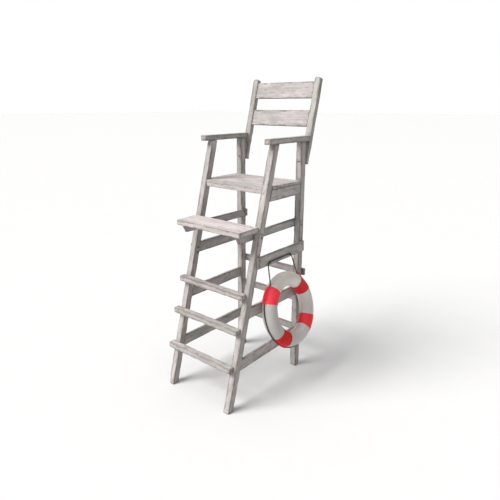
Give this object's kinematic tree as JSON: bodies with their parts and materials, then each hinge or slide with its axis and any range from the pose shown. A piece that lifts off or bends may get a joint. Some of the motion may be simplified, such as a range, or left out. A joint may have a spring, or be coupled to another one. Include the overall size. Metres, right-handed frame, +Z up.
{
  "type": "lifeguard chair",
  "caption": "Tall weathered timber lifeguard chair with leaning front legs, ladder rungs, footrest, slatted seat and back, and a banded ring buoy hung by a rope on a side rail.",
  "frame": {"origin": "on the ground, under the middle of the whole object's box with the ring buoy hanging at rest", "axes": "+Z up; -Y is the ladder side that the sitter faces; +X is the side the ring buoy hangs on; left and right are as seen from the ladder side"},
  "size_m": [0.9248, 1.175, 2.474],
  "materials": {
    "whitewashed_wood": "matte",
    "dull_steel": "matte",
    "ring_plastic": "satin",
    "ring_foam": "matte",
    "red_band": "satin",
    "dark_rope": "matte"
  },
  "bodies": {
    "chair": {"armrest_left": "whitewashed_wood", "armrest_right": "whitewashed_wood", "armrest_screws": "dull_steel", "back_post_left": "whitewashed_wood", "back_post_right": "whitewashed_wood", "back_slat_lower": "whitewashed_wood", "back_slat_upper": "whitewashed_wood", "bolt_nuts": "dull_steel", "bolt_washers": "dull_steel", "footrest_board": "whitewashed_wood", "footrest_bracket_left": "whitewashed_wood", "footrest_bracket_right": "whitewashed_wood", "footrest_screws": "dull_steel", "front_leg_left": "whitewashed_wood", "front_leg_right": "whitewashed_wood", "hanging_pegs": "dull_steel", "lower_side_rail_left": "whitewashed_wood", "lower_side_rail_right": "whitewashed_wood", "middle_side_rail_left": "whitewashed_wood", "middle_side_rail_right": "whitewashed_wood", "post_bolts": "dull_steel", "post_screws": "dull_steel", "post_wedge_left": "whitewashed_wood", "post_wedge_right": "whitewashed_wood", "rear_leg_left": "whitewashed_wood", "rear_leg_right": "whitewashed_wood", "rear_rail_lower": "whitewashed_wood", "rear_rail_middle": "whitewashed_wood", "rear_rail_screws": "dull_steel", "rear_rail_upper": "whitewashed_wood", "rung_lower": "whitewashed_wood", "rung_middle": "whitewashed_wood", "rung_screws": "dull_steel", "rung_upper": "whitewashed_wood", "seat_board_1": "whitewashed_wood", "seat_board_2": "whitewashed_wood", "seat_board_3": "whitewashed_wood", "seat_board_4": "whitewashed_wood", "seat_board_5": "whitewashed_wood", "seat_front_apron": "whitewashed_wood", "seat_rear_apron": "whitewashed_wood", "seat_screws": "dull_steel", "seat_side_apron_left": "whitewashed_wood", "seat_side_apron_right": "whitewashed_wood", "side_rail_bolts": "dull_steel", "slat_screws": "dull_steel", "upper_side_rail_left": "whitewashed_wood", "upper_side_rail_right": "whitewashed_wood"},
    "hanger": {"hanger_bight": "dark_rope"},
    "ring_buoy": {"ring_shell": "ring_plastic", "ring_foam_core": "ring_foam", "ring_band_1": "red_band", "ring_band_2": "red_band", "ring_band_3": "red_band", "ring_band_4": "red_band", "grab_line": "dark_rope", "hanger_drop_left": "dark_rope", "hanger_drop_right": "dark_rope"}
  },
  "joints": [
    {"name": "lift_off", "type": "slide", "parent": "chair", "child": "hanger", "axis": [0.9903, 0, 0.1392], "range_m": [0, 0.15]},
    {"name": "ring_swing", "type": "hinge", "parent": "hanger", "child": "ring_buoy", "pos_m": [0.27341, 0.01352, 1.12162], "axis": [0, -1, 0], "range_deg": [0, 75]}
  ]
}
